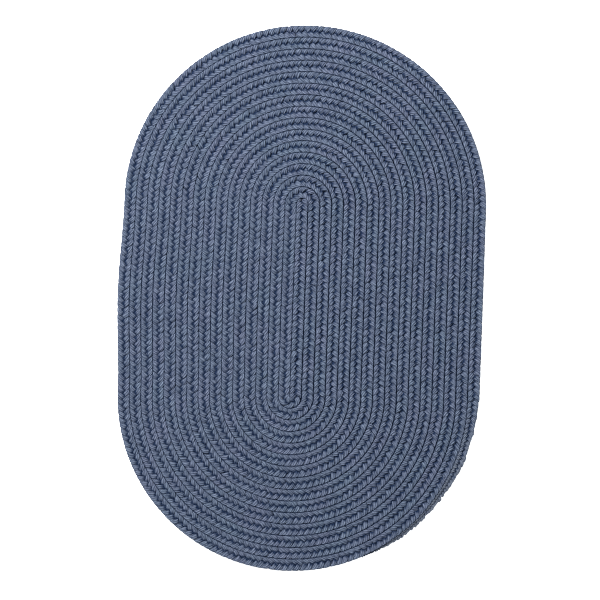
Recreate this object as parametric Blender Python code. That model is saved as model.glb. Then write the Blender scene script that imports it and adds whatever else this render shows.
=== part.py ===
"""Oval braided rug: one long flat braid, wound into a racetrack spiral and sewn edge to edge.

Metres, +Z up. The rug lies on z = 0 with the middle of its outline over the origin, and its
length runs along Y. Seen from above, the braid starts at the +Y end of the middle row, runs
down that row and winds outwards clockwise. It ends in a tail that tapers away at lower right.
"""

import math

import bmesh
import bpy
from mathutils import Vector

RUG = "braided_rug"

# Driving dimensions, in metres. A row is one pass of the braid, and a turn goes once round.
LENGTH = 0.914
WIDTH = 0.612
ROWS_ACROSS = 31
THICKNESS = 0.0095
TOP_GROOVE = 0.0066  # height of the seams between rows, on the upper face
UNDER_GROOVE = 0.0029  # and on the underside

TURNS = (ROWS_ACROSS - 1) // 2
ROW_PITCH = WIDTH / ROWS_ACROSS
TOP_REACH = TURNS + 0.5  # rows from the upper focus to the outline
BOTTOM_REACH = TURNS  # and from the lower focus

# How evenly the rows are sewn: round the ends they are packed a little closer than along the
# sides, and closer to the left than to the right. All are shares of ROW_PITCH.
END_PACKING_X = 0.99
END_PACKING_Y = 0.98
LEAN_AT_ENDS = 0.018
LEAN_AT_MIDDLE = 0.008
LEAN_TOWARDS = math.radians(-12)

ARC_STEPS = 20  # sections round one end
SIDE_STEPS = 4  # sections along one straight side

# Across one row, from its inner to its outer seam: place, and height above the seam as a
# share of the row's own.
TOP_PROFILE = ((0.0, 0.0), (0.22, 0.83), (0.5, 1.0), (0.78, 0.83), (1.0, 0.0))
UNDER_PROFILE = ((0.0, 0.0), (0.25, 1.0), (0.75, 1.0), (1.0, 0.0))

# The tail: angle below +X round the lower focus, and width in rows.
TAIL = ((0, 0.95), (9, 0.80), (27, 0.68), (45, 0.28), (63, 0.0))

WELD = 0.00001
SHARP_ANGLE = math.radians(50)
STEEL_BLUE = (0.084, 0.109, 0.174, 1.0)


def reach(rows, angle):
    """From a focus to the point that many rows out, at an angle from +X."""
    spread = rows * ROW_PITCH * (1 + LEAN_AT_ENDS * math.cos(angle - LEAN_TOWARDS))
    return Vector((END_PACKING_X * spread * math.cos(angle), END_PACKING_Y * spread * math.sin(angle)))


MIDDLE_ROW_X = -LEAN_AT_MIDDLE * WIDTH / 2
TOP_FOCUS = Vector((MIDDLE_ROW_X, LENGTH / 2 - reach(TOP_REACH, math.pi / 2).y))
BOTTOM_FOCUS = Vector(
    (MIDDLE_ROW_X + reach(0.5, math.pi).x, -LENGTH / 2 - reach(BOTTOM_REACH, -math.pi / 2).y)
)


def side_point(rows, step):
    """A point on the straight that lies some rows right of the middle row, at a step from its top."""
    share = step / SIDE_STEPS
    towards = 0 if rows > 0 else math.pi
    end_x = MIDDLE_ROW_X + reach(abs(rows), towards).x
    middle_x = MIDDLE_ROW_X + rows * ROW_PITCH * (1 + LEAN_AT_MIDDLE * math.copysign(1, rows))
    bow = math.sin(math.pi * share) ** 2
    y = TOP_FOCUS.y + share * (BOTTOM_FOCUS.y - TOP_FOCUS.y)
    return Vector((end_x + bow * (middle_x - end_x), y))


def start_ribs():
    """The rounded start of the braid, inside the first turn round the upper focus."""
    for step in range(ARC_STEPS // 2):
        angle = math.pi / 2 - math.pi * step / ARC_STEPS
        outer = TOP_FOCUS + reach(0.5, angle)
        inner = TOP_FOCUS + reach(0.5, math.pi - angle)
        yield inner, outer, math.cos(angle)


def side_ribs(inner_row, outer_row, steps):
    """Sections of one straight, between two distances from the middle row."""
    for step in steps:
        yield side_point(inner_row, step), side_point(outer_row, step), 1.0


def arc_ribs(focus, inner_row, start, turn):
    """Sections round one end, without the last, which the next straight begins with."""
    for step in range(ARC_STEPS):
        angle = start + turn * step / ARC_STEPS
        yield focus + reach(inner_row, angle), focus + reach(inner_row + 1, angle), 1.0


def tail_width(degrees):
    """Width of the tail in rows, read off its short table."""
    for (low, wide), (high, narrow) in zip(TAIL, TAIL[1:]):
        if degrees <= high:
            return wide + (narrow - wide) * (degrees - low) / (high - low)
    return 0.0


def tail_ribs():
    """The end of the braid, whose outer edge runs in to the turn inside it."""
    step_angle = 180 / ARC_STEPS
    steps = math.ceil(TAIL[-1][0] / step_angle)
    for step in range(steps + 1):
        width = tail_width(step * step_angle)
        angle = -math.radians(step * step_angle)
        inner = BOTTOM_FOCUS + reach(TURNS, angle)
        outer = BOTTOM_FOCUS + reach(TURNS + width, angle)
        yield inner, outer, math.sqrt(width)


def ribs():
    """Sections across the braid from start to tail: inner point, outer point and fullness."""
    down = range(SIDE_STEPS)
    up = range(SIDE_STEPS, 0, -1)
    yield from start_ribs()
    for turn in range(TURNS):
        yield from side_ribs(turn - 0.5, turn + 0.5, down)
        yield from arc_ribs(BOTTOM_FOCUS, turn, 0, -math.pi)
        yield from side_ribs(-turn - 0.5, -turn - 1.5, up)
        yield from arc_ribs(TOP_FOCUS, turn + 0.5, math.pi, -math.pi)
    yield from side_ribs(TURNS - 0.5, TURNS + 0.5, down)
    yield from tail_ribs()


def add_face(bm, sections, profile, seam, crown):
    """One face of the rug: a long strip laid along the spiral, its turns welded at the seams."""
    lengthwise = len(sections) - 1
    crosswise = len(profile) - 1
    made = bmesh.ops.create_grid(bm, x_segments=lengthwise, y_segments=crosswise, size=0.5)
    for vert in made["verts"]:
        inner, outer, fullness = sections[round((vert.co.x + 0.5) * lengthwise)]
        place, height = profile[round((vert.co.y + 0.5) * crosswise)]
        z = seam + (crown - seam) * height * fullness
        vert.co = (*inner.lerp(outer, place), z)
    bmesh.ops.remove_doubles(bm, verts=made["verts"], dist=WELD)


def rug_mesh():
    """The upper face and the underside, closed by an upright rim round the outline."""
    sections = list(ribs())
    bm = bmesh.new()
    add_face(bm, sections, TOP_PROFILE, TOP_GROOVE, THICKNESS)
    add_face(bm, sections, UNDER_PROFILE, UNDER_GROOVE, 0.0)
    outline = [edge for edge in bm.edges if edge.is_boundary]
    bmesh.ops.bridge_loops(bm, edges=outline)
    bmesh.ops.recalc_face_normals(bm, faces=bm.faces)
    mesh = bpy.data.meshes.new(RUG)
    bm.to_mesh(mesh)
    bm.free()
    mesh.shade_smooth()
    mesh.set_sharp_from_angle(angle=SHARP_ANGLE)
    return mesh


def yarn_material():
    material = bpy.data.materials.new("braided_yarn")
    material.use_nodes = True
    shader = material.node_tree.nodes["Principled BSDF"]
    shader.inputs["Base Color"].default_value = STEEL_BLUE
    shader.inputs["Roughness"].default_value = 0.95
    shader.inputs["Metallic"].default_value = 0.0
    return material


def clear_scene():
    for old in list(bpy.data.objects):
        bpy.data.objects.remove(old)


def build_rug():
    collection = bpy.data.collections.new("oval_braided_rug")
    bpy.context.scene.collection.children.link(collection)
    mesh = rug_mesh()
    mesh.materials.append(yarn_material())
    collection.objects.link(bpy.data.objects.new(RUG, mesh))


clear_scene()
build_rug()
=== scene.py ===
"""Looks of the oval braided rug: three plaited strands of yarn, laced edge to edge in a spiral.

Metres, in the frame of the solid model: +Z up, the rug lying on z = 0, its length along Y. A row
is one pass of the braid. Phases are radians of the braid's wave.
"""

import math

import bpy
import numpy as np
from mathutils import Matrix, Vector


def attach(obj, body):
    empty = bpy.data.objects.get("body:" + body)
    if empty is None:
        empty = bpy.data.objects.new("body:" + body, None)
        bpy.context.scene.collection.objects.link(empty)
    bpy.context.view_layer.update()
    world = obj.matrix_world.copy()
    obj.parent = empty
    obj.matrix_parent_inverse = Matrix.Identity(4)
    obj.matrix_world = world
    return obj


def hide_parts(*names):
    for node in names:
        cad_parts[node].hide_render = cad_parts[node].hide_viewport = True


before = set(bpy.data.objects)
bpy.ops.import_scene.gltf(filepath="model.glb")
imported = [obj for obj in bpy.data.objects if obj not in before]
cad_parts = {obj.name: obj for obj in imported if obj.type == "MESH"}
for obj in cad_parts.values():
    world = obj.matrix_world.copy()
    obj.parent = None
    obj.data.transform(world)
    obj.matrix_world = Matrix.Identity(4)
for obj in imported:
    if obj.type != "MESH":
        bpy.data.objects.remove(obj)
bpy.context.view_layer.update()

# The plan, as the solid is laid out. Only the tail follows the real one a little closer here.
LENGTH = 0.914
WIDTH = 0.612
ROWS_ACROSS = 31
TURNS = (ROWS_ACROSS - 1) // 2
ROW_PITCH = WIDTH / ROWS_ACROSS
TOP_REACH = TURNS + 0.5  # rows from the upper focus to the outline
BOTTOM_REACH = TURNS  # and from the lower focus
END_PACKING_X = 0.99  # the rows' spacing round the ends, as a share of ROW_PITCH
END_PACKING_Y = 0.98
LEAN_AT_ENDS = 0.018  # share by which they lie wider to the right, and closer to the left
LEAN_AT_MIDDLE = 0.008
LEAN_TOWARDS = math.radians(-12)
TAIL_ANGLES = (0, 9, 21, 31, 51, 64)  # degrees below +X round the lower focus
TAIL_WIDTHS = (0.95, 0.80, 0.74, 0.48, 0.31, 0.05)  # in rows
TUCKED_IN = 0.03  # rows by which the tail lies closer to its neighbour
START_REACH = 0.45  # rows that the braid's start reaches past the upper focus

# Points on the route, and how it is read.
SIDE_POINTS = 60
ARC_POINTS = 90
START_POINTS = 9
TAIL_POINTS = 60
LAST_TURN_PARTS = 5  # of the route: arc, side, arc, side and tail
SEAM_SIDE_POINTS = 40
SEAM_ARC_POINTS = 30
SEAM_END = 3  # which of the tail's angles the lacing ends at
SAMPLE = 0.001  # along the route, before the strands are laid on it
SMOOTHING = 5  # samples

# The braid. One wave of it takes each strand over to one side, and back and out to the other.
STRANDS = 3
WAVE = 0.0302
SWING = 0.0086  # of a strand's middle, to each side of the row's, before its turns are sharpened
SHARPNESS = 0.10  # of its turns: 0 is a sine, and 1/9 nearly a straight zigzag
LINGERING = 0.35  # share by which it is slower than a sine when halfway out
RISE = 0.0024  # of its middle, up and down
LATENESS = math.radians(36)  # of its rise, so that the row's middle lies lower than its edges
LIFT = 0.25  # keeps it up for longer than down
STEEPNESS = 2.5  # of its rise at the row's middle, which flattens the tops
MIDDLE_HEIGHT = 0.0046  # of the braid above the floor
ON_ITS_WAY = math.radians(45)  # before the row's middle, where a strand makes for its other half

# A strand's section.
STRAND_WIDTH = 0.0104
STRAND_THICKNESS = 0.0048
SQUARENESS = 0.56  # 1 is an oval
NARROWING = 0.05  # where it turns back at the row's edge, as a share of its width
THICKENING = 0.10  # there, as a share of its thickness
PRESSED_FROM = 0.0062  # from the row's middle, where its neighbours begin to flatten it
PRESSED_TO = 0.0099  # and as far as it reaches
PRESSURE = 3  # how sharply it is flattened against that
LOOSER = 0.0006  # how much further it reaches where it has no neighbour
SIDES = 12
RIM_POINTS = 721  # at which its section is measured
STEPS_PER_WAVE = 16  # rings of points
CROWDING = 0.5  # share by which they are closer where the strand turns back
TURN_WINDOW = np.hanning(9)[1:-1]  # rings over which its turning back is spread
SHORTEST_STEP = 1e-6  # along the braid

# Where the braid is thin, at its start and along its tail. Fullness is 1 where it is whole.
START_FULLNESS = 0.3
START_LENGTH = 0.006  # of braid that the strands take to fill out
LEAST_FULLNESS = 0.12  # at the tail's tip
LEAST_WAVE = 0.1  # the length of a wave in a braid of no width, as a share of WAVE
FULL_WIDTH = 0.999  # rows, below which the tail begins
HEIGHT_POWER = 0.2  # of the fullness: a thin braid loses less height than width
WORN_FULLY = 0.25  # of its fullness that the tail has lost where it is at its roughest
RAGGED = 0.0008  # how far its strands stray there
RAGGED_LENGTH = 0.004  # of braid from one stray to the next

# How uneven the strands are.
SEED = 7
PHASE_WANDER = 0.17  # radians
SWING_WANDER = 0.06  # these are shares of the value that wanders
RISE_WANDER = 0.06
WIDTH_WANDER = 0.08
TWIST_WANDER = 0.06  # turns

# The thread that laces the rows together. It is real, and its near-black colour is painted shade for the
# seams.
LACING_WIDTH = 0.0050
LACING_THICKNESS = 0.0026
LACING_HEIGHT = 0.0042
LACING_SIDES = 6
LACING_STEP = 0.0075  # from ring to ring
LACING_TWIST = 900  # turns in a metre
LACING_ROUGHNESS = 0.9

# How open to the light a place is, from 0, in a hollow, to 1. It sets painted shade: the yarn's colour is
# darkened in hollows, beside seams and under the edges of strands.
FULL_RAISE = 0.5  # of the way from the braid's middle to its top, above which a place is open
FULL_FLANK = 0.3  # the same for how far up a strand's side it lies
SEAM_SHADE = 0.12  # share of half a row, beside a seam, that lies in its shade
MIDDLE_SHADE = 0.54  # share of half a row, beside its middle, where strands shade each other
CAST = 0.0065  # how far beside a strand's edge its painted shadow reaches, on strands that lie deeper
OVERHANG = 0.0003  # by which they lie deeper in full shade

# A strand laid out flat, in rows of steps, with its two caps in a row of their own.
FLAT_SHAPE = 1.6  # of a step along a strand, its length over a side's width
FLAT_MARGIN = 0.03  # between the rows, as a share of a row
FLAT_EDGE = 0.001  # beside them
CAP_RADIUS = 0.4  # of a row
CORNER_STEPS = np.array((0, 0, 1, 1))  # along the strand, for the four corners of a face
CORNER_TURNS = np.array((0, 1, 1, 0))  # and around it

# The yarn's finish.
PLIES = 8  # yarns that show round a strand
PLY_DEPTH = 0.0008  # of the grooves between them
TWIST_LENGTH = 0.110  # of braid for one turn of the yarns round a strand
GROOVE_SHADE_RANGE = (0.6, 0.1)  # of a yarn's height: the painted shade of a groove begins, and is darkest
GROOVE_SHADE_STRENGTH = 0.34
FIBRE_GRAIN = (50, 350)  # grains of noise round a strand, and in a metre of it
FIBRE_RANGE = (0.35, 0.65)  # of the noise
FIBRE_STRENGTH = 0.25
FIBRE_HEIGHT = 0.12  # as a share of a yarn's
STREAK_GRAIN = (18, 140)
STREAK_RANGE = (0.32, 0.68)
PATCH_GRAIN = (0.5, 14)
PATCH_RANGE = (0.35, 0.65)
FADE_GRAIN = (1, 90)
FADE_RANGE = (0.3, 0.5)
FADING = 0.15  # of braid, from the start of the tail, over which it turns duller and lighter; the lightening is painted light for the shade the tail lies in
FADED = 0.85  # share of it that is dull in the end
PAINTED_SHADE_RANGE = (0.9, 0.4)  # openness: the painted shade begins, and is darkest
PAINTED_SHADE_STRENGTH = 0.90
NOISE_DETAIL = 2.0
YARN_ROUGHNESS = 0.85
SHEEN = 0.05
SHEEN_ROUGHNESS = 0.5

# Linear colours.
MAUVE_SHADE = (0.056, 0.066, 0.106, 1)
GREEN_SHADE = (0.050, 0.067, 0.101, 1)
MAUVE_LIGHT = (0.180, 0.206, 0.288, 1)
GREEN_LIGHT = (0.166, 0.208, 0.280, 1)
# the tail's duller grey, also lighter as painted light for the shade it lies in
DULL_AND_FILL_GREY = (0.172, 0.192, 0.232, 1)
FIBRE_BLUE = (0.030, 0.042, 0.075, 1)
# painted shade in the grooves between yarns
PAINTED_GROOVE_SHADE = (0.004, 0.014, 0.056, 1)
# painted shade for the braid's hollows and seams
PAINTED_SHADE_NAVY = (0.0048, 0.0138, 0.042, 1)
SHEEN_BLUE = (0.3, 0.45, 0.8, 1)
# the lacing's colours, painted near-black for the shade deep in the seams
LACING_SHADE_DARK = (0.006, 0.014, 0.042, 1)
LACING_SHADE_LIGHT = (0.014, 0.028, 0.072, 1)
FLOOR_WHITE = (0.9, 0.9, 0.9, 1)
GLOW_WHITE = (1, 1, 1, 1)
SKY = (0.88, 0.95, 1.0, 1)

# The picture.
FLOOR_SIZE = 6
FLOOR_ROUGHNESS = 0.8
FLOOR_GLOW = 0.75
KEY_PLACE = (-1.7, 1.8, 2.9)
KEY_SIZE = 0.5
KEY_POWER = 232
SKY_STRENGTH = 0.57
VIEW_WIDTH = 1.0072  # metres that the picture spans at the rug
TURN_IN_VIEW = math.radians(2.0)  # the rug leans to the right
VIEW_CENTRE = (-0.0004, -0.0030)
LENS = 100
SENSOR = 36
PIXEL_FILTER = 1.0  # pixels: the yarns are hardly wider


def reach(rows, angle):
    """From a focus to the points that many rows out, at angles from +X."""
    spread = rows * ROW_PITCH * (1 + LEAN_AT_ENDS * np.cos(angle - LEAN_TOWARDS))
    return np.stack((END_PACKING_X * spread * np.cos(angle), END_PACKING_Y * spread * np.sin(angle)), -1)


MIDDLE_ROW_X = -LEAN_AT_MIDDLE * WIDTH / 2
TOP_FOCUS = np.array((MIDDLE_ROW_X, LENGTH / 2 - reach(TOP_REACH, math.pi / 2)[1]))
BOTTOM_FOCUS = np.array(
    (MIDDLE_ROW_X + reach(0.5, math.pi)[0], -LENGTH / 2 - reach(BOTTOM_REACH, -math.pi / 2)[1])
)


def side_points(rows, shares):
    """Points on the straight that lies some rows right of the middle row, by share from its top."""
    end_x = MIDDLE_ROW_X + reach(abs(rows), 0 if rows > 0 else math.pi)[0]
    middle_x = MIDDLE_ROW_X + rows * ROW_PITCH * (1 + LEAN_AT_MIDDLE * np.sign(rows))
    x = end_x + np.sin(math.pi * shares) ** 2 * (middle_x - end_x)
    y = TOP_FOCUS[1] + shares * (BOTTOM_FOCUS[1] - TOP_FOCUS[1])
    return np.stack((x, y), -1)


def tail_width(angle):
    """Width of the tail in rows, at angles from +X round the lower focus."""
    return np.interp(np.degrees(-angle), TAIL_ANGLES, TAIL_WIDTHS)


def points_before(parts, half_turn, degrees):
    """How many points of a route come before an angle on the arc that follows some of its parts."""
    return sum(map(len, parts)) + int(len(half_turn) * degrees / 180)


def braid_route():
    """The braid's middle line from its start to its tail, its width in rows, and 1 where no row lies
    outside it."""
    down = np.linspace(0, 1, SIDE_POINTS, endpoint=False)
    half_turn = np.linspace(0, -math.pi, ARC_POINTS, endpoint=False)
    inwards = np.linspace(1, 0, START_POINTS, endpoint=False)
    start = TOP_FOCUS + reach(START_REACH, math.pi / 2) * inwards[:, None]
    parts = [start, side_points(0, down)]
    for turn in range(TURNS):
        parts.append(BOTTOM_FOCUS + reach(turn + 0.5, half_turn))
        parts.append(side_points(-turn - 1, 1 - down))
        parts.append(TOP_FOCUS + reach(turn + 1, math.pi + half_turn))
        parts.append(side_points(turn + 1, down))
    full = sum(map(len, parts))
    tail = np.linspace(0, -math.radians(TAIL_ANGLES[-1]), TAIL_POINTS)
    parts.append(BOTTOM_FOCUS + reach(TURNS + tail_width(tail) / 2 - TUCKED_IN, tail))
    width = np.concatenate((np.ones(full), tail_width(tail)))
    outermost = np.zeros(len(width))
    outermost[points_before(parts[:-LAST_TURN_PARTS], half_turn, TAIL_ANGLES[-1]):] = 1
    return np.concatenate(parts), width, outermost


def seam_route():
    """The line along which the rows are laced together, as far as the thin part of the tail."""
    down = np.linspace(0, 1, SEAM_SIDE_POINTS, endpoint=False)
    half_turn = np.linspace(0, -math.pi, SEAM_ARC_POINTS, endpoint=False)
    parts = []
    for turn in range(TURNS):
        parts.append(side_points(-turn - 0.5, 1 - down))
        parts.append(TOP_FOCUS + reach(turn + 0.5, math.pi + half_turn))
        parts.append(side_points(turn + 0.5, down))
        parts.append(BOTTOM_FOCUS + reach(turn + 1, half_turn))
    return np.concatenate(parts)[: points_before(parts[:-1], half_turn, TAIL_ANGLES[SEAM_END])]


def running_length(points):
    return np.concatenate(((0,), np.cumsum(np.linalg.norm(np.diff(points, axis=0), axis=1))))


def unit(vectors):
    return vectors / np.linalg.norm(vectors, axis=1)[:, None]


def sampled_route():
    """The route at even spacing with its corners eased: lengths, places, outward directions, widths
    and whether nothing lies outside it."""
    points, width, outermost = braid_route()
    along = running_length(points)
    even = np.arange(0, along[-1], SAMPLE)
    window = np.hanning(SMOOTHING + 2)[1:-1]
    window /= window.sum()

    def eased(values):
        padded = np.pad(np.interp(even, along, values), SMOOTHING // 2, mode="edge")
        return np.convolve(padded, window, "valid")

    x, y = eased(points[:, 0]), eased(points[:, 1])
    ahead = unit(np.stack((np.gradient(x), np.gradient(y)), -1))
    outward = np.stack((-ahead[:, 1], ahead[:, 0]), -1)
    return even, np.stack((x, y), -1), outward, eased(width), eased(outermost)


class Braid:
    """The route, read by the phase of the braid's wave."""

    def __init__(self):
        along, place, outward, width, outermost = sampled_route()
        wave = WAVE * (LEAST_WAVE + (1 - LEAST_WAVE) * width)
        self.tail_start = float(along[np.argmax(width < FULL_WIDTH)])
        self.phase = np.concatenate(((0,), np.cumsum(2 * math.pi * SAMPLE / wave[:-1])))
        starting = np.clip(START_FULLNESS + along / START_LENGTH, 0, 1)
        full = starting * np.clip(width, LEAST_FULLNESS, 1)
        self.columns = (along, place[:, 0], place[:, 1], outward[:, 0], outward[:, 1], outermost, full)

    def read(self, phase):
        """Length so far, place, outward direction, whether outermost, and fullness."""
        along, x, y, out_x, out_y, outermost, full = (
            np.interp(phase, self.phase, column) for column in self.columns
        )
        return along, np.stack((x, y), -1), np.stack((out_x, out_y), -1), outermost, full

    def ring_phases(self, offset):
        """Phases at which a strand has its rings, closest where it turns back."""
        step = 2 * math.pi / STEPS_PER_WAVE
        even = np.arange(offset, offset + self.phase[-1], step)
        own = even + CROWDING / 2 * np.sin(2 * even)
        return np.clip(own - offset, 0, self.phase[-1])


def wander(rng, at, spacing, size):
    """A seeded random value that changes smoothly along the braid."""
    places = at / spacing
    left = np.floor(places).astype(int)
    share = places - left
    share = share * share * (3 - 2 * share)  # level at both ends
    values = rng.normal(0.0, size, left.max() + 2)
    return values[left] * (1 - share) + values[left + 1] * share


class Strand:
    """The course of one strand along the braid: its middle, its size and how far it has turned."""

    def __init__(self, braid, index):
        rng = np.random.default_rng(SEED + index)
        lobe = WAVE / STRANDS  # of braid, from one turn at the row's edge to the next
        offset = 2 * math.pi * index / STRANDS
        common = braid.ring_phases(offset)
        self.along, self.place, self.outward, self.outermost, self.full = braid.read(common)
        self.stature = self.full**HEIGHT_POWER  # share of its height that a thin braid keeps

        phase = common + offset + wander(rng, self.along, 2 * lobe, PHASE_WANDER)
        swing = SWING * self.full * (1 + wander(rng, self.along, lobe, SWING_WANDER))
        rise = RISE * self.stature * (1 + wander(rng, self.along, lobe, RISE_WANDER))
        self.turn = phase + LINGERING / 2 * np.cos(2 * phase)
        self.side = swing * (np.sin(self.turn) - SHARPNESS * np.sin(3 * self.turn))
        climb = np.tanh(STEEPNESS * (np.sin(2 * self.turn - LATENESS) + LIFT))
        self.height = MIDDLE_HEIGHT + rise * climb

        turning = np.sin(self.turn) ** 2  # 1 where the strand turns back at the row's edge
        uneven = 1 + wander(rng, self.along, lobe, WIDTH_WANDER)
        self.half_width = STRAND_WIDTH / 2 * self.full * (1 - NARROWING * turning) * uneven
        self.half_thick = STRAND_THICKNESS / 2 * self.stature * (1 + THICKENING * turning)
        self.twist = self.along / TWIST_LENGTH + wander(rng, self.along, 2 * lobe, TWIST_WANDER)
        self.stray = wander(rng, self.along, RAGGED_LENGTH, RAGGED)

    def middle(self):
        return np.concatenate((self.place + self.outward * self.side[:, None], self.height[:, None]), 1)

    def axes(self):
        """Directions across the strand and up through it, eased where it turns back."""
        ahead = unit(np.gradient(self.middle(), axis=0))
        across = unit(np.cross(ahead, (0, 0, 1)))
        across = unit(np.stack([np.convolve(column, TURN_WINDOW, "same") for column in across.T], -1))
        return across, unit(np.cross(across, ahead))

    def reach_aside(self):
        """From its middle to its edge, straight across the row."""
        step = np.maximum(np.gradient(self.along), SHORTEST_STEP)
        return self.half_width * np.hypot(1, np.gradient(self.side) / step)


def rim(angle):
    """A strand's squarish section: shares of half its width and of half its thickness."""
    cosine, sine = np.cos(angle), np.sin(angle)
    across = np.sign(cosine) * np.abs(cosine) ** SQUARENESS
    up = np.sign(sine) * np.abs(sine) ** SQUARENESS
    return across, up


def rim_angles(shares):
    """Angles at even distances round a strand."""
    fine = np.linspace(0, 2 * math.pi, RIM_POINTS)
    across, up = rim(fine)
    length = running_length(np.stack((STRAND_WIDTH * across, STRAND_THICKNESS * up), -1))
    whole = np.floor(shares)
    return 2 * math.pi * whole + np.interp(shares - whole, length / length[-1], fine)


def round_rings(strand):
    """Rings of points round a strand that nothing presses, and how far up its side each lies."""
    around = np.arange(SIDES) / SIDES
    across, over = strand.axes()
    sideways, upwards = rim(rim_angles(around[None, :] + strand.twist[:, None]))
    out = strand.half_width[:, None] * sideways
    up = strand.half_thick[:, None] * upwards
    rings = strand.middle()[:, None] + out[..., None] * across[:, None] + up[..., None] * over[:, None]
    rings[..., 2] = np.maximum(rings[..., 2], 0)
    return rings, upwards


def pressed(aside, limit):
    """Distances from the row's middle, eased to stay within a limit on both sides."""
    room = limit - PRESSED_FROM
    over = np.maximum(np.abs(aside) - PRESSED_FROM, 0) / room
    eased = room * over / (1 + over**PRESSURE) ** (1 / PRESSURE)
    return np.sign(aside) * (np.minimum(np.abs(aside), PRESSED_FROM) + eased)


def press(strand, rings):
    """Flattens a strand's rings against the rows beside it, and makes the tail's outer side ragged.

    Gives the distances from the row's middle, outwards, as they would be in the full braid.
    """
    full, outermost = strand.full[:, None], strand.outermost[:, None]
    aside = np.einsum("rpi,ri->rp", rings[..., :2] - strand.place[:, None], strand.outward) / full
    kept = pressed(aside, PRESSED_TO + LOOSER * outermost * (aside > 0))
    worn = outermost * np.clip((1 - full) / WORN_FULLY, 0, 1)
    moved = (kept - aside) * full + worn * strand.stray[:, None] * np.maximum(kept, 0) / PRESSED_TO
    rings[..., :2] += moved[..., None] * strand.outward[:, None, :]
    return kept


def uncovered(strand, others, rings, aside):
    """How far points lie from under the edges of strands that come over from the row's other half: the
    mask of the painted shadow that those edges cast.
    """
    ahead = np.stack((strand.outward[:, 1], -strand.outward[:, 0]), -1)
    at = strand.along[:, None] + np.einsum("rpi,ri->rp", rings[..., :2] - strand.place[:, None], ahead)
    towards = np.sign(np.sin(strand.turn + ON_ITS_WAY))[:, None]
    full = strand.full[:, None]
    clear = np.ones_like(at)
    for other in others:
        side = np.interp(at, other.along, other.side)
        top = np.interp(at, other.along, other.height + other.half_thick)
        apart = np.abs(aside - side) - np.interp(at, other.along, other.reach_aside())
        opposite = np.clip(-towards * side / (SWING / 2 * full), 0, 1)
        below = np.clip((top - rings[..., 2]) / OVERHANG, 0, 1)
        clear = np.minimum(clear, 1 - opposite * below * np.clip(1 - apart / (CAST * full), 0, 1))
    return clear


def open_to_light(strand, others, rings, upwards, kept):
    """How open to the light the points on a strand lie, from 0, in a hollow, to 1."""
    full = strand.full[:, None]
    top = (RISE + STRAND_THICKNESS / 2) * strand.stature[:, None]
    raised = np.abs(rings[..., 2] - MIDDLE_HEIGHT) / top / FULL_RAISE
    share = kept / (ROW_PITCH / 2)
    off_middle = np.maximum(uncovered(strand, others, rings, kept * full), np.abs(share) / MIDDLE_SHADE)
    off_seam = (1 - np.abs(share)) / SEAM_SHADE
    inside = np.minimum(np.minimum(raised, np.abs(upwards) / FULL_FLANK), np.minimum(off_seam, off_middle))
    outside = np.maximum(share, 1 - full) * strand.outermost[:, None]
    return np.clip(np.maximum(inside, outside), 0, 1)


def tube_faces(count, sides):
    """Corners of the faces between a tube's rings, then of its two caps, and how many each has."""
    ring = np.arange(count - 1)[:, None] * sides
    this, following = np.arange(sides), (np.arange(sides) + 1) % sides
    quads = np.stack((ring + this, ring + following, ring + sides + following, ring + sides + this), -1)
    walls = quads.reshape(-1, 4)
    start, end = np.arange(sides)[::-1], (count - 1) * sides + np.arange(sides)
    corners = np.concatenate((walls.ravel(), start, end))
    return corners, np.concatenate((np.full(len(walls), 4), (sides, sides)))


def wall_shares(sides):
    """Shares of the way round a tube, at the corners of the faces between two rings."""
    return (np.arange(sides)[:, None] + CORNER_TURNS) / sides


def cap_shares(sides):
    """Shares of the way round a tube, at the corners of its two caps."""
    return np.concatenate((np.arange(sides)[::-1], np.arange(sides))) / sides


def yarn_map(along, sides):
    """Metres along a tube and shares around it, at the corners of its faces."""
    steps = np.arange(len(along) - 1)
    wall_u = np.repeat(along[steps[:, None] + CORNER_STEPS][:, None, :], sides, 1).reshape(-1)
    wall_v = np.repeat(wall_shares(sides)[None], len(steps), 0).reshape(-1)
    cap_u = np.repeat((along[0], along[-1]), sides)
    return np.concatenate((wall_u, cap_u)), np.concatenate((wall_v, cap_shares(sides)))


def flat_map(count, sides):
    """A tube laid out flat, at the corners of its faces."""
    rows = math.ceil(math.sqrt(FLAT_SHAPE * count / sides)) + 1
    row_steps = math.ceil((count - 1) / (rows - 1))
    row, column = np.divmod(np.arange(count - 1), row_steps)
    wall_u = (column[:, None] + CORNER_STEPS)[:, None, :].repeat(sides, 1).reshape(-1) / row_steps
    wall_v = row[:, None, None] + FLAT_MARGIN + (1 - 2 * FLAT_MARGIN) * wall_shares(sides)[None]
    angle = 2 * math.pi * cap_shares(sides)
    cap_u = np.repeat((0.5, 1.5), sides) + CAP_RADIUS * np.cos(angle)  # side by side
    cap_v = rows - 0.5 + CAP_RADIUS * np.sin(angle)  # in the last row
    u = np.concatenate((FLAT_EDGE + (1 - 2 * FLAT_EDGE) * wall_u, cap_u / rows))
    return u, np.concatenate((wall_v.reshape(-1), cap_v)) / rows


def add_map(mesh, name, u, v):
    layer = mesh.uv_layers.new(name=name)
    layer.uv.foreach_set("vector", np.stack((u, v), -1).reshape(-1).astype(np.float32))


def tube_mesh(name, rings, along, openness):
    """A closed tube through rings of points, with its two maps and its points' openness, which sets their
    painted shade.
    """
    count, sides = rings.shape[:2]
    corners, sizes = tube_faces(count, sides)
    first_corners = np.concatenate(((0,), np.cumsum(sizes)[:-1]))
    mesh = bpy.data.meshes.new(name)
    mesh.vertices.add(count * sides)
    mesh.vertices.foreach_set("co", rings.reshape(-1).astype(np.float32))
    mesh.loops.add(len(corners))
    mesh.loops.foreach_set("vertex_index", corners.astype(np.int32))
    mesh.polygons.add(len(sizes))
    mesh.polygons.foreach_set("loop_start", first_corners.astype(np.int32))
    mesh.update(calc_edges=True)
    open_at = mesh.attributes.new("openness", "FLOAT", "POINT")
    open_at.data.foreach_set("value", openness.reshape(-1).astype(np.float32))
    add_map(mesh, "yarn", *yarn_map(along, sides))
    add_map(mesh, "OFBake", *flat_map(count, sides))
    mesh.shade_smooth()
    return mesh


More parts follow.
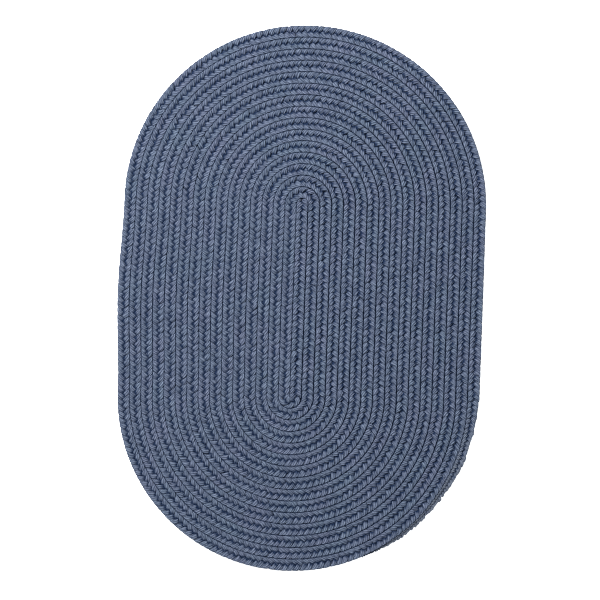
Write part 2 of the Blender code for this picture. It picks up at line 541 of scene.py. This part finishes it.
def lacing_rings():
    """Rings round the lacing, which lies deep in the seams between rows, and lengths along it."""
    points = seam_route()
    along = running_length(points)
    even = np.arange(0, along[-1], LACING_STEP)
    x, y = np.interp(even, along, points[:, 0]), np.interp(even, along, points[:, 1])
    middle = np.stack((x, y, np.full_like(x, LACING_HEIGHT)), -1)
    across = np.cross(unit(np.gradient(middle, axis=0)), (0, 0, 1))
    angle = np.arange(LACING_SIDES) * 2 * math.pi / LACING_SIDES
    rings = middle[:, None, :] + across[:, None, :] * (LACING_WIDTH / 2 * np.cos(angle))[None, :, None]
    rings[..., 2] += LACING_THICKNESS / 2 * np.sin(angle)
    return rings, even


class Nodes:
    """Short ways to add nodes to a material and to link them."""

    def __init__(self, name):
        self.material = bpy.data.materials.new(name)
        self.material.use_nodes = True
        self.tree = self.material.node_tree
        self.shader = self.tree.nodes["Principled BSDF"]

    def add(self, kind, *inputs, **settings):
        """A node with its first inputs linked or set, and its first output."""
        made = self.tree.nodes.new(kind)
        for setting, value in settings.items():
            setattr(made, setting, value)
        for socket, value in zip(made.inputs, inputs):
            self.feed(socket, value)
        return made.outputs[0]

    def feed(self, socket, value):
        if isinstance(value, bpy.types.NodeSocket):
            self.tree.links.new(value, socket)
        else:
            socket.default_value = value

    def math(self, operation, *inputs):
        return self.add("ShaderNodeMath", *inputs, operation=operation)

    def scaled(self, value, factor):
        return self.math("MULTIPLY", value, factor)

    def ramp(self, value, low, high, start=0.0, end=1.0):
        """The value's share of the way from low to high, from start to end."""
        return self.add("ShaderNodeMapRange", value, low, high, start, end)

    def noise(self, vector):
        made = self.add("ShaderNodeTexNoise", vector)
        made.node.inputs["Scale"].default_value = 1.0
        made.node.inputs["Detail"].default_value = NOISE_DETAIL
        return made

    def mix(self, share, first, second):
        """A blend of two colours, by the sockets that the node has for colours."""
        made = self.tree.nodes.new("ShaderNodeMix")
        made.data_type = "RGBA"
        self.feed(made.inputs["Factor"], share)
        self.feed(made.inputs[6], first)
        self.feed(made.inputs[7], second)
        return made.outputs[2]

    def map_place(self):
        """Metres along a strand, and the share of the way around it."""
        place = self.add("ShaderNodeSeparateXYZ", self.add("ShaderNodeUVMap", uv_map="yarn"))
        return place.node.outputs[0], place.node.outputs[1]

    def openness(self):
        made = self.tree.nodes.new("ShaderNodeAttribute")
        made.attribute_name = "openness"
        return made.outputs["Fac"]

    def bump(self, height, distance):
        made = self.tree.nodes.new("ShaderNodeBump")
        made.inputs["Strength"].default_value = 1.0
        made.inputs["Distance"].default_value = distance
        self.feed(made.inputs["Height"], height)
        return made.outputs[0]


def yarn_material(tail_start):
    """Plied yarn: ridges along the strand, streaks of fibre on them and dye that wanders, with painted
    shade in the grooves between yarns and in the braid's hollows.
    """
    nodes = Nodes("braided_yarn")
    along, round_share = nodes.map_place()
    turn = nodes.scaled(round_share, 2 * math.pi)
    cosine, sine = nodes.math("COSINE", turn), nodes.math("SINE", turn)

    def on_strand(around, lengthwise):
        """Seamless noise on the strand, with that many grains around it and in a metre of it."""
        radius = around / (2 * math.pi)
        x, y, z = nodes.scaled(cosine, radius), nodes.scaled(sine, radius), nodes.scaled(along, lengthwise)
        return nodes.noise(nodes.add("ShaderNodeCombineXYZ", x, y, z))

    ply = nodes.math("ABSOLUTE", nodes.math("COSINE", nodes.scaled(turn, PLIES / 2)))
    # painted shade in the grooves between yarns, besides their bump
    groove_shade = nodes.ramp(ply, *GROOVE_SHADE_RANGE)
    fibre = nodes.ramp(on_strand(*FIBRE_GRAIN), *FIBRE_RANGE)
    streak = nodes.ramp(on_strand(*STREAK_GRAIN), *STREAK_RANGE)
    patch = nodes.ramp(on_strand(*PATCH_GRAIN), *PATCH_RANGE)
    # the tail turns duller, and lighter as painted light against the shade it lies in
    worn = nodes.ramp(along, tail_start, tail_start + FADING, 0, FADED)
    fade_and_fill = nodes.math("MULTIPLY", worn, nodes.ramp(on_strand(*FADE_GRAIN), *FADE_RANGE))
    # painted shade, darkest where a place is least open to the light
    painted_shade = nodes.ramp(nodes.openness(), *PAINTED_SHADE_RANGE, 0, PAINTED_SHADE_STRENGTH)

    shade = nodes.mix(patch, MAUVE_SHADE, GREEN_SHADE)
    light = nodes.mix(patch, MAUVE_LIGHT, GREEN_LIGHT)
    faded_and_filled = nodes.mix(fade_and_fill, nodes.mix(streak, shade, light), DULL_AND_FILL_GREY)
    fibrous = nodes.mix(nodes.scaled(fibre, FIBRE_STRENGTH), faded_and_filled, FIBRE_BLUE)
    groove_shaded = nodes.mix(nodes.scaled(groove_shade, GROOVE_SHADE_STRENGTH), fibrous, PAINTED_GROOVE_SHADE)
    height = nodes.math("ADD", nodes.scaled(fibre, FIBRE_HEIGHT), ply)
    nodes.feed(nodes.shader.inputs["Base Color"], nodes.mix(painted_shade, groove_shaded, PAINTED_SHADE_NAVY))
    nodes.feed(nodes.shader.inputs["Normal"], nodes.bump(height, PLY_DEPTH))
    nodes.shader.inputs["Roughness"].default_value = YARN_ROUGHNESS
    nodes.shader.inputs["Specular IOR Level"].default_value = 0.0
    nodes.shader.inputs["Sheen Weight"].default_value = SHEEN
    nodes.shader.inputs["Sheen Tint"].default_value = SHEEN_BLUE
    nodes.shader.inputs["Sheen Roughness"].default_value = SHEEN_ROUGHNESS
    return nodes.material


def shaded_lacing_material():
    """Twisted thread, painted near-black for the shade deep in the seams."""
    nodes = Nodes("lacing")
    along, round_share = nodes.map_place()
    twist = nodes.math("ADD", nodes.scaled(along, LACING_TWIST), round_share)
    lay = nodes.ramp(nodes.math("SINE", nodes.scaled(twist, 2 * math.pi)), -1, 1)
    nodes.feed(nodes.shader.inputs["Base Color"], nodes.mix(lay, LACING_SHADE_DARK, LACING_SHADE_LIGHT))
    nodes.shader.inputs["Roughness"].default_value = LACING_ROUGHNESS
    return nodes.material


def add_tube(name, rings, along, openness, material):
    mesh = tube_mesh(name, rings, along, openness)
    mesh.materials.append(material)
    tube = bpy.data.objects.new(name, mesh)
    bpy.context.scene.collection.objects.link(tube)
    return tube


def add_strands():
    """The three strands, each in an inner and an outer half."""
    braid = Braid()
    material = yarn_material(braid.tail_start)
    courses = [Strand(braid, index) for index in range(STRANDS)]
    halves = []
    for index, course in enumerate(courses):
        others = courses[:index] + courses[index + 1:]
        rings, upwards = round_rings(course)
        kept = press(course, rings)
        openness = open_to_light(course, others, rings, upwards, kept)
        half = (len(rings) - 1) // 2
        for part, span in (("inner", slice(0, half + 1)), ("outer", slice(half, len(rings)))):
            name = f"strand_{index + 1}_{part}"
            halves.append(add_tube(name, rings[span], course.along[span], openness[span], material))
    return halves


def add_lacing():
    rings, along = lacing_rings()
    return add_tube("lacing", rings, along, np.zeros(rings.shape[:2]), shaded_lacing_material())


def add_floor():
    bpy.ops.mesh.primitive_plane_add(size=FLOOR_SIZE)
    floor = bpy.context.object
    floor.name = "floor"
    material = bpy.data.materials.new("floor_white")
    material.use_nodes = True
    shader = material.node_tree.nodes["Principled BSDF"]
    shader.inputs["Base Color"].default_value = FLOOR_WHITE
    shader.inputs["Roughness"].default_value = FLOOR_ROUGHNESS
    shader.inputs["Emission Color"].default_value = GLOW_WHITE
    shader.inputs["Emission Strength"].default_value = FLOOR_GLOW
    floor.data.materials.append(material)


def add_camera():
    """A camera straight above the rug."""
    data = bpy.data.cameras.new("camera")
    data.lens = LENS
    data.sensor_width = SENSOR
    camera = bpy.data.objects.new("camera", data)
    bpy.context.scene.collection.objects.link(camera)
    camera.location = (*VIEW_CENTRE, MIDDLE_HEIGHT + VIEW_WIDTH * LENS / SENSOR)
    camera.rotation_euler = (0, 0, TURN_IN_VIEW)
    bpy.context.scene.camera = camera


def add_key_light():
    data = bpy.data.lights.new("key", "AREA")
    data.shape = "SQUARE"
    data.size = KEY_SIZE
    data.energy = KEY_POWER
    light = bpy.data.objects.new("key", data)
    light.location = KEY_PLACE
    light.rotation_euler = (-Vector(KEY_PLACE)).to_track_quat("-Z", "Y").to_euler()
    bpy.context.scene.collection.objects.link(light)


def set_up_studio():
    """A soft pale sky all round, and a picture that keeps the yarns sharp."""
    world = bpy.data.worlds.new("studio")
    world.use_nodes = True
    background = world.node_tree.nodes["Background"]
    background.inputs["Color"].default_value = SKY
    background.inputs["Strength"].default_value = SKY_STRENGTH
    scene = bpy.context.scene
    scene.world = world
    scene.view_settings.view_transform = "Standard"
    scene.cycles.filter_width = PIXEL_FILTER
    scene.cycles.denoising_prefilter = "NONE"  # it would wipe the yarns out


for strand in [*add_strands(), add_lacing()]:
    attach(strand, "root")
    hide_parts("braided_rug")
add_floor()
add_camera()
add_key_light()
set_up_studio()
